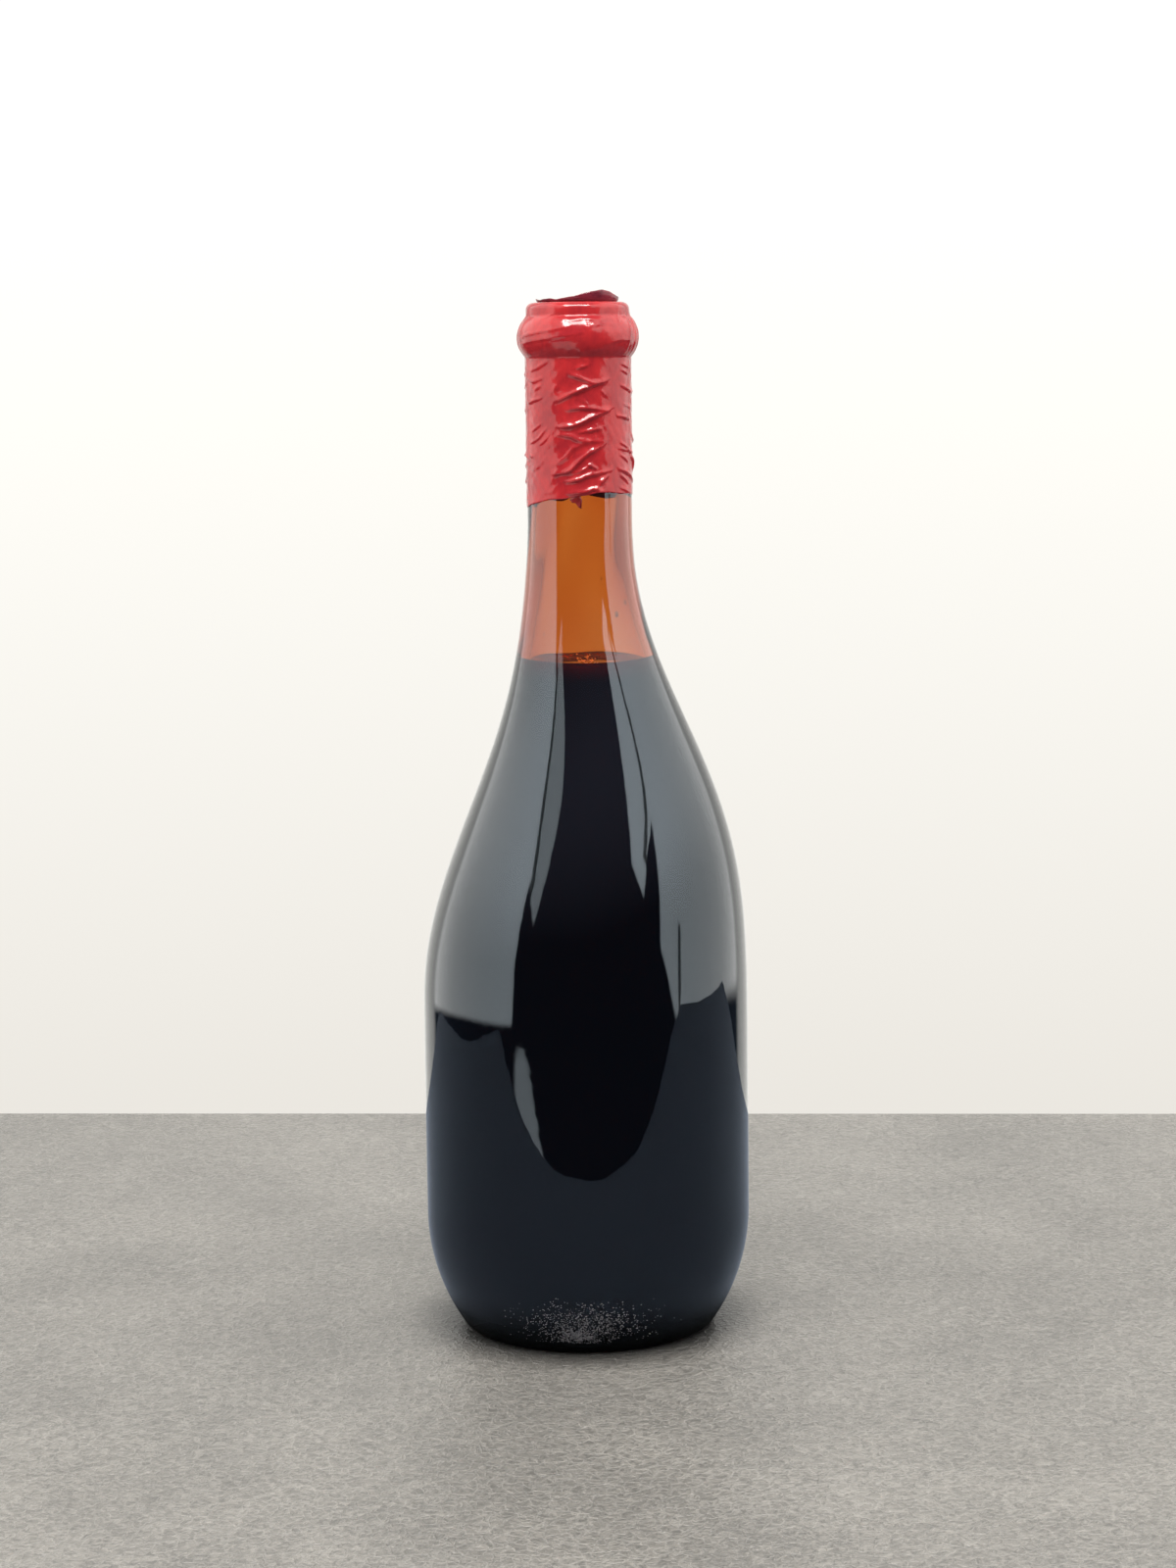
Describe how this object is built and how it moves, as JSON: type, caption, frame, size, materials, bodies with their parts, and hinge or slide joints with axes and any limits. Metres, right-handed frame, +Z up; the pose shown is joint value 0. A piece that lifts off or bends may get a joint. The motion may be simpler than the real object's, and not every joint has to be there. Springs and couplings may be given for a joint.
{
  "type": "filled wine bottle",
  "caption": "Amber glass wine bottle with a slightly lopsided shoulder, part-filled with dark red wine, its neck and lip in a wrinkled red shrink capsule with a curled top disc.",
  "frame": {"origin": "centre of the flat ring that the bottle stands on", "axes": "+Z up along the bottle's axis, from the base towards the mouth; -Y is the front, and the shoulder is fuller towards +X"},
  "size_m": [0.089, 0.089, 0.2826],
  "materials": {
    "amber_glass": "clear amber bottle glass, smooth and glossy",
    "red_wine": "dark red wine, almost opaque",
    "red_film": "shrunk film with creases, glossy",
    "dark_film": "the film's dark burgundy underside, satin"
  },
  "bodies": {
    "root": {"glass": "amber_glass", "wine": "red_wine", "capsule": "red_film", "top_disc": "dark_film"}
  },
  "joints": []
}
